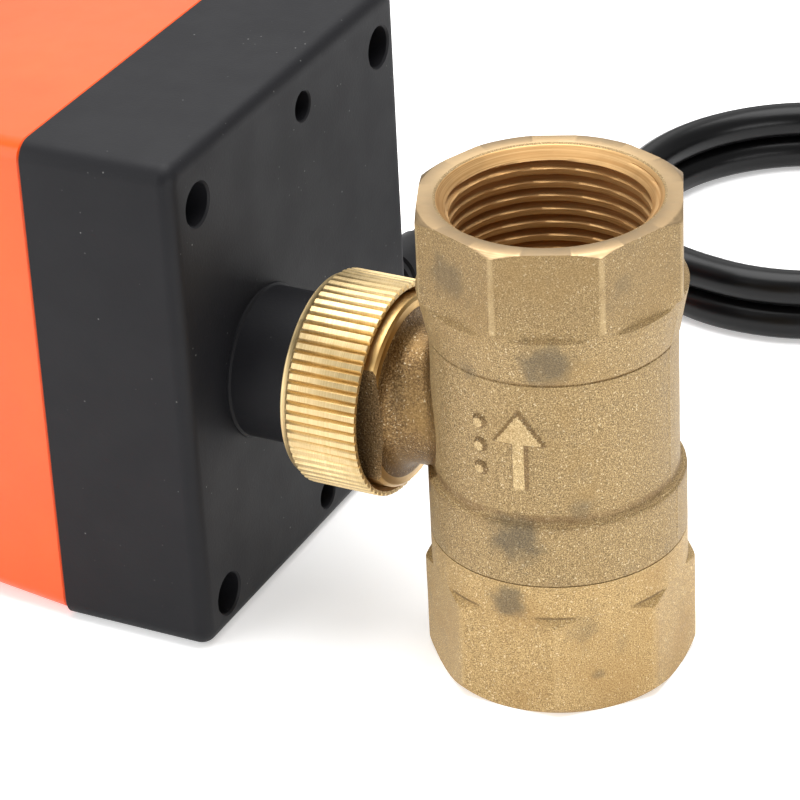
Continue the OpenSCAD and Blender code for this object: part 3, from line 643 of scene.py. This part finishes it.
def arrow_height(s, z):
    """Relief of the cast flow arrow and its three pips, from 0 to 1. s runs round the barrel in mm."""
    def edge(d):
        return min(1, max(0, 0.5 - d / 0.26))
    shaft = max(abs(s) - 0.85, 31.6 - z, z - 38.2)
    head = max(abs(s) - (42.2 - z) * 0.72, 37.8 - z)
    pips = min(math.hypot(s + 5.2, z - h) for h in (33.4, 36.6, 39.8)) - 0.8
    return max(edge(shaft), edge(head), edge(pips))


def valve_body():
    """Body from the seam up, hollow to its port, with the side neck and the stem's bore."""
    n = 416
    n_neck = 160
    rows = []

    def parting(t, z):
        """Low ridge that the two halves of the forging die leave."""
        off = abs((t + math.pi) % (2 * math.pi) - math.pi) * 15.5
        return PARTING_HEIGHT * max(0, 1 - off / PARTING_HALF_WIDTH) if 18.7 < z < 50 else 0

    def row(z, r):
        def uneven(t):
            return radius_at(r, t) + 0.035 * unevenness(t, z) + parting(t, z)
        rows.append(turned_ring("z", z, uneven, n, PIPE_AXIS))
    oct8 = octagon(0, 17.0)
    row(SEAM_Z, 15.4)
    row(SEAM_Z + 0.08, BAND_R)
    for z in step_list(20, 26.2, 4):
        row(z, BAND_R)
    for a in quarter(4):
        row(26.35 + 0.4 * math.sin(a), BAND_R - 0.3 * (1 - math.cos(a)))
    for a in quarter(4):
        row(26.95 + 0.6 * (1 - math.cos(a)), 15.65 - 0.55 * math.sin(a))
    arrow_at = math.radians(ARROW_DEG)

    def barrel(z):
        def r(t):
            s = ((t - arrow_at + math.pi) % (2 * math.pi) - math.pi) * BARREL_R
            return BARREL_R + (ARROW_RELIEF * arrow_height(s, z) if abs(s) < ARROW_REACH else 0)
        return r
    for z in (28.6, 30.2):
        row(z, BARREL_R)
    for z in step_list(30.9, 43, 60):
        row(z, barrel(z))
    for z, r in ((44.6, 15.1), (45.7, 15.1), (45.85, 14.95), (46.05, 14.95), (46.15, 15.3), (46.8, 15.42),
                 (49.5, 15.94), (51.6, 16.35), (52.1, 16.42)):
        row(z, r)
    row(52.4, limited(oct8, 16.5))
    row(52.6, limited(oct8, 16.8))
    row(52.9, oct8)
    for z in step_list(54.5, 62.6, 4):
        row(z, oct8)
    for z in step_list(62.8, 63.44, 8):
        row(z, limited(oct8, 15.95 + (TOP_Z - z) * 1.7))
    flat_top = [turned_ring("z", z, r, n, PIPE_AXIS) for z, r in (
        (TOP_Z, limited(oct8, 15.9)), (TOP_Z, 13.9), (63.42, 13.75))]
    rings = rows + flat_top + thread_rows(TOP_Z, PORT_DEPTH, 1, n, 13.72)
    for z, r in ((48, 7.7), (44.7, 7.7), (44.7, 11.25), (40, 11.25), (40, 13.2), (26.6, 13.2), (26.6, 13.55),
                 (SEAM_Z, 13.55)):
        rings.append(turned_ring("z", z, r, n, PIPE_AXIS))
    body = ring_mesh("valve_body_forging", rings, True)

    def off_barrel(d, r):
        """Ring of radius r round the neck, d mm off the barrel all round."""
        out = []
        for k in range(n_neck):
            t = 2 * math.pi * k / n_neck
            y = r * math.cos(t)
            out.append((-math.sqrt(BARREL_R ** 2 - y * y) - d, y, STEM_Z + r * math.sin(t)))
        return out
    neck = [off_barrel(-2.5, NECK_R + NECK_FILLET)]
    for a in quarter(8):
        off, wider = NECK_FILLET * (1 - math.cos(a)), NECK_FILLET * (1 - math.sin(a))
        neck.append(off_barrel(off - 0.05, NECK_R + wider))
    neck.append(turned_ring("x", -17.1, NECK_R, n_neck))
    for a in quarter(8)[1:]:
        neck.append(turned_ring("x", -17.1 - 2.2 * math.sin(a), NECK_R + 2.1 * (1 - math.cos(a)), n_neck))
    neck += [turned_ring("x", x, r, n_neck) for x, r in (
        (-19.42, 11.0), (-19.5, 11.95), (-19.85, FLANGE_R), (-27.9, FLANGE_R), (-28.2, 12.0))]
    half_plan = [(-30, FLAT_Y), (-16.9, FLAT_Y), (-15.5, 11), (-8, 11)]
    side = [(x, -y) for x, y in half_plan] + [(x, y) for x, y in reversed(half_plan)]
    block = ring_mesh("block", [[(x, y, z) for x, y in side] for z in (12, 54)], False)
    neck = boolean(ring_mesh("neck", neck, False), block, "INTERSECT")
    body = boolean(body, neck, "UNION")
    stem_bore = ((-5, 4.55), (-10, 4.55), (-10, 6.15), (-16.4, 6.15), (-16.4, 4.55), (-23.2, 4.55),
                 (-23.2, 7), (-30, 7))
    bore = ring_mesh("bore", [turned_ring("x", x, r, 96) for x, r in stem_bore], False)
    body = boolean(body, bore, "DIFFERENCE")

    def choose(c, nrm):
        rho = math.hypot(c.x, c.y)
        s = (math.atan2(c.y, c.x) - arrow_at) * BARREL_R
        if 30.8 < c.z < 43.1 and 14.9 < rho < 16 and abs(s) < ARROW_REACH:
            # Painted shade on the arrow's slopes.
            if (nrm.x * c.x + nrm.y * c.y) / rho < 0.9:
                return "forged_edge"
            # Painted highlight on the arrow's top.
            if rho > 15.3:
                return "forged_top"
        between_flats = abs(c.y) < 9.58
        # The neck takes the darker brass, painted shade.
        if FLANGE_X < c.x < -11 and rho > 15.2 and math.hypot(c.y, c.z - STEM_Z) < 11.95 and between_flats:
            return "neck"
        if c.x < -16.9:
            # The flats take the darker brass, painted shade.
            if abs(c.y) > 9.58 and abs(nrm.y) > 0.95:
                return "rough_flat"
            return "flange" if c.x < FLANGE_X else "forged"
        if c.z > 48 and rho < 13.6:
            return "threaded"
        faced = (c.z > 63.4 and nrm.z > 0.9) or (c.z > 62.8 and rho > 15.6 and nrm.z > 0.3)
        return "faced" if faced else "forged"
    keys = ("forged", "faced", "threaded", "rough_flat", "flange", "forged_edge", "neck", "forged_top")
    finished(body, keys, choose)
    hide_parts("valve_body")


def end_connector():
    """Connector from the lower port's mouth up to the seam, and the spigot that enters the body."""
    n = 480
    oct8 = octagon(22.5, 16.85)
    rows = [turned_ring("z", 0, limited(oct8, 15.72), n, PIPE_AXIS)]

    def row(z, r):
        def uneven(t):
            return radius_at(r, t) + 0.03 * unevenness(t, z, 9)
        rows.append(turned_ring("z", z, uneven, n, PIPE_AXIS))
    for z in step_list(0.1, 1.5, 12):
        row(z, limited(oct8, 15.75 + z * 0.9))
    for z in step_list(2.5, 12.6, 6):
        row(z, oct8)
    for z in step_list(12.9, 13.8, 8):
        row(z, limited(oct8, 17.0 - (z - 12.9) * 1.14))
    row(14.0, BAND_R)
    row(SEAM_Z - 0.08, BAND_R)
    row(SEAM_Z, 15.4)
    for z, r in ((SEAM_Z, 13.5), (25, 13.5), (25, 11.25), (20.3, 11.25), (20.3, 7.7), (PORT_DEPTH, 7.7)):
        rows.append(turned_ring("z", z, r, n, PIPE_AXIS))
    rows += reversed(thread_rows(0, PORT_DEPTH, -1, n, 13.6))
    rows.append(turned_ring("z", 0, 13.6, n, PIPE_AXIS))
    conn = ring_mesh("end_connector_forging", rows, True)

    def choose(c, nrm):
        rho = math.hypot(c.x, c.y)
        if c.z < PORT_DEPTH and rho < 13.6:
            return "threaded"
        return "faced" if nrm.z < -0.9 and c.z < 0.1 else "connector"
    finished(conn, ("connector", "faced", "threaded"), choose)
    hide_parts("end_connector")


# ---- union nut ----

NUT_RIDGES = 66
NUT_R = 13.7
GROOVE_DEPTH = 0.6


def union_nut():
    """Nut with flat-topped ridges and V grooves, and an inner collar that holds it on the neck."""
    n = NUT_RIDGES * 12

    def knurled(cap):
        def r(t):
            across = NUT_RIDGES * t / (2 * math.pi) % 1
            return min(cap, NUT_R - GROOVE_DEPTH * max(0, 1 - abs(across - 0.5) / 0.23))
        return r
    rows = [turned_ring("x", x, knurled(cap), n) for x, cap in (
        (-31.5, 12.7), (-31.3, 12.95), (-30.7, 12.98), (-30.55, 13.1), (-30.1, NUT_R), (-21.0, NUT_R),
        (-20.85, 13.6))]
    rows += [turned_ring("x", x, r, n) for x, r in (
        (-20.8, 13.05), (-21.5, 12.42), (-30, 12.42), (-30, 9.95), (-31.5, 9.95), (-31.5, 12.6))]
    nut = ring_mesh("union_nut_knurled", rows, True)

    def choose(c, nrm):
        rho = math.hypot(c.y, c.z - STEM_Z)
        return "nut_mouth" if rho < 13.15 and c.x > -21.6 and nrm.x > 0.2 else "nut"
    finished(nut, ("nut", "nut_mouth"), choose, 40, "nut")
    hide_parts("union_nut")


# ---- actuator ----

JOINT_X = -61.5
COVER_BACK_X = -91.5
WALL = 2
EDGE_R = 2
DRAFT_DEG = 3.75
# Y and Z of the screws.
COVER_SCREWS = ((-13.2, 5.2), (35.2, 5.2), (-13.2, 60.8), (35.2, 60.8))
PLATE_SCREWS = ((14.1, 4.6), (14.1, 61.7))
CLAMP_SCREWS = ((33.2, 12.9), (33.2, 24.1))


def box_ring(x, inset, r):
    """Rounded outline of the actuator at x, inset from its full size, with corners of radius r."""
    seg = 8
    y0, y1, z0, z1 = -19.5 + inset, 40.5 - inset, inset, 68 - inset
    out = []
    for cy, cz, start in (
            (y1 - r, z1 - r, 0), (y0 + r, z1 - r, 90), (y0 + r, z0 + r, 180), (y1 - r, z0 + r, 270)):
        for k in range(seg + 1):
            a = math.radians(start + 90 * k / seg)
            out.append((x, cy + r * math.cos(a), cz + r * math.sin(a)))
    return out


def at_x(p):
    return (0, p[0], p[1])


def actuator_base():
    """Tray that is open towards the cover, with screw posts, a collar and the cable's hole."""
    rows = [box_ring(x, inset, r) for x, inset, r in (
        (-43, WALL, 1.2), (JOINT_X, WALL, 1.2), (JOINT_X, 0.2, 2.4), (-61.3, 0, 2.5), (-42.5, 0, 2.5))]
    for a in quarter(8)[1:]:
        inset = EDGE_R * (1 - math.cos(a))
        rows.append(box_ring(-42.5 + EDGE_R * math.sin(a), inset, max(0.9, 2.5 - inset)))
    base = ring_mesh("actuator_base_shell", rows, False)
    posts = [rod("p", "x", -61.4, -42.6, 4.6, at_x(p)) for p in COVER_SCREWS]
    posts += [rod("p", "x", -59.5, -42.6, 3.4, at_x(p)) for p in PLATE_SCREWS]
    posts += [rod("p", "x", -48, -42.6, 2.4, at_x(p)) for p in CLAMP_SCREWS]
    collar = [turned_ring("x", x, r, 128) for x, r in (
        (-43.3, 9.75), (-41, 9.75), (-41, 10.05), (-40.2, 10.05), (-40.0, 9.75),
        (-29.85, 9.75), (-29.85, 9.0), (-28.85, 9.0), (-28.85, 9.75), (-28.6, 9.75), (-28.4, 9.55))]
    base = boolean(base, joined(posts), "UNION")
    base = boolean(base, ring_mesh("collar", collar, False), "UNION")

    def hole(steps, n, centre=STEM_AXIS):
        return ring_mesh("h", [turned_ring("x", x, r, n, centre) for x, r in steps], False)
    cover_hole = ((-62.5, 1.7), (-56.5, 1.7), (-56.5, 2.75), (-40.75, 2.75), (-40.2, 3.3))
    plate_hole = ((-62.5, 1.15), (-53, 1.15), (-53, 1.95), (-40.7, 1.95), (-40.2, 2.45))
    holes = [hole(cover_hole, 64, at_x(p)) for p in COVER_SCREWS]
    holes += [hole(plate_hole, 64, at_x(p)) for p in PLATE_SCREWS]
    holes.append(hole(((-45, 5.5), (-37.7, 5.5), (-37.7, 7.05), (-27, 7.05)), 96))
    holes.append(rod("h", "y", 37, 43, 4.05, CABLE_AXIS))
    base = boolean(base, joined(holes), "DIFFERENCE")
    finished(base, ("base",), angle=30)
    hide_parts("actuator_base")


def actuator_cover():
    """Drafted cover that is open towards the base, with four screw bosses."""
    draft = math.tan(math.radians(DRAFT_DEG))

    def at(x, extra, r):
        return box_ring(x, 0.3 + extra + (JOINT_X - x) * draft, r)
    rows = []
    for a in reversed(quarter(8)):
        inset = EDGE_R * (1 - math.cos(a))
        rows.append(at(COVER_BACK_X + EDGE_R - EDGE_R * math.sin(a), inset, max(0.9, 2.6 - inset)))
    rows += [at(x, extra, r) for x, extra, r in (
        (-61.95, 0, 2.5), (JOINT_X, 0.4, 2.2), (JOINT_X, WALL, 1.0), (-89.5, WALL, 1.0))]
    cover = ring_mesh("actuator_cover_shell", rows, False)
    bosses = joined([rod("b", "x", -89.8, -61.52, 4.2, at_x(p)) for p in COVER_SCREWS])
    block = ring_mesh("block", [at(-91, 0.4, 2.2), at(-61, 0.4, 2.2)], False)
    cover = boolean(cover, boolean(bosses, block, "INTERSECT"), "UNION")
    screw_holes = joined([rod("h", "x", -73.5, -60, 1.3, at_x(p)) for p in COVER_SCREWS])
    cover = boolean(cover, screw_holes, "DIFFERENCE")
    finished(cover, ("cover",), angle=30)
    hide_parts("actuator_cover")


def cable_boot():
    """Grommet in the base's wall and its ribbed, tapered boot."""
    line = [(37.1, 4.8), (38.5, 4.8), (38.5, 4.0), (40.5, 4.0), (40.5, 5.2), (40.7, 5.4), (41.8, 5.4),
            (42, 5.2), (42, 4.4)]
    for i in range(4):
        y = 42.6 + 2.0 * i
        r = 4.5 - 1.4 * (y - 42) / 16
        line += [(y, r), (y + 0.2, r - 0.55), (y + 0.9, r - 0.6), (y + 1.1, r - 0.1)]
    line += [(57.6, 3.15), (58, 2.95), (58, 2.7), (37.1, 2.7)]
    boot = ring_mesh("cable_boot", [turned_ring("y", y, r, 64, CABLE_AXIS) for y, r in line], True)
    finished(boot, ("rubber",), angle=35)
    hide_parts("cable_gland")


valve_body()
end_connector()
union_nut()
actuator_base()
actuator_cover()
cable_boot()


# ---- floor and light ----

def make_stage():
    """Pale floor and an even white surround."""
    mesh = bpy.data.meshes.new("floor")
    half = 6.0
    corners = [(-half, -half, 0), (half, -half, 0), (half, half, 0), (-half, half, 0)]
    mesh.from_pydata(corners, [], [(0, 1, 2, 3)])
    p = Paint("floor", 0, 0.9, specular=0.1)
    p.colour(p.ramp(p.noise(60, 2), (0.3, (240, 240, 240)), (0.7, (244, 244, 244))))
    p.bsdf.inputs["Emission Color"].default_value = (1, 1, 1, 1)
    p.bsdf.inputs["Emission Strength"].default_value = 0.4
    mesh.materials.append(p.mat)
    floor = bpy.data.objects.new("floor", mesh)
    bpy.context.collection.objects.link(floor)
    world = bpy.data.worlds.new("studio")
    bpy.context.scene.world = world
    world.use_nodes = True
    world.node_tree.nodes["Background"].inputs[0].default_value = (1, 1, 1, 1)
    world.node_tree.nodes["Background"].inputs[1].default_value = 0.42


def area_light(name, at_mm, aim_mm, size, watts):
    data = bpy.data.lights.new(name, "AREA")
    data.shape = "RECTANGLE"
    data.size, data.size_y = size
    data.energy = watts
    obj = bpy.data.objects.new(name, data)
    way = metres(aim_mm) - metres(at_mm)
    obj.rotation_euler = way.to_track_quat("-Z", "Y").to_euler()
    obj.location = metres(at_mm)
    bpy.context.collection.objects.link(obj)


make_stage()
area_light("top", (-60, 120, 620), (-20, 20, 20), (0.6, 0.6), 6.0)
area_light("left", (-420, -420, 260), (-20, 0, 30), (0.5, 0.5), 2.0)
area_light("right", (480, -200, 60), (-20, 0, 20), (0.4, 0.2), 1.3)
area_light("back", (-300, 560, 400), (-75, 10, 60), (0.5, 0.4), 0.5)
bpy.context.scene.view_settings.view_transform = "Standard"
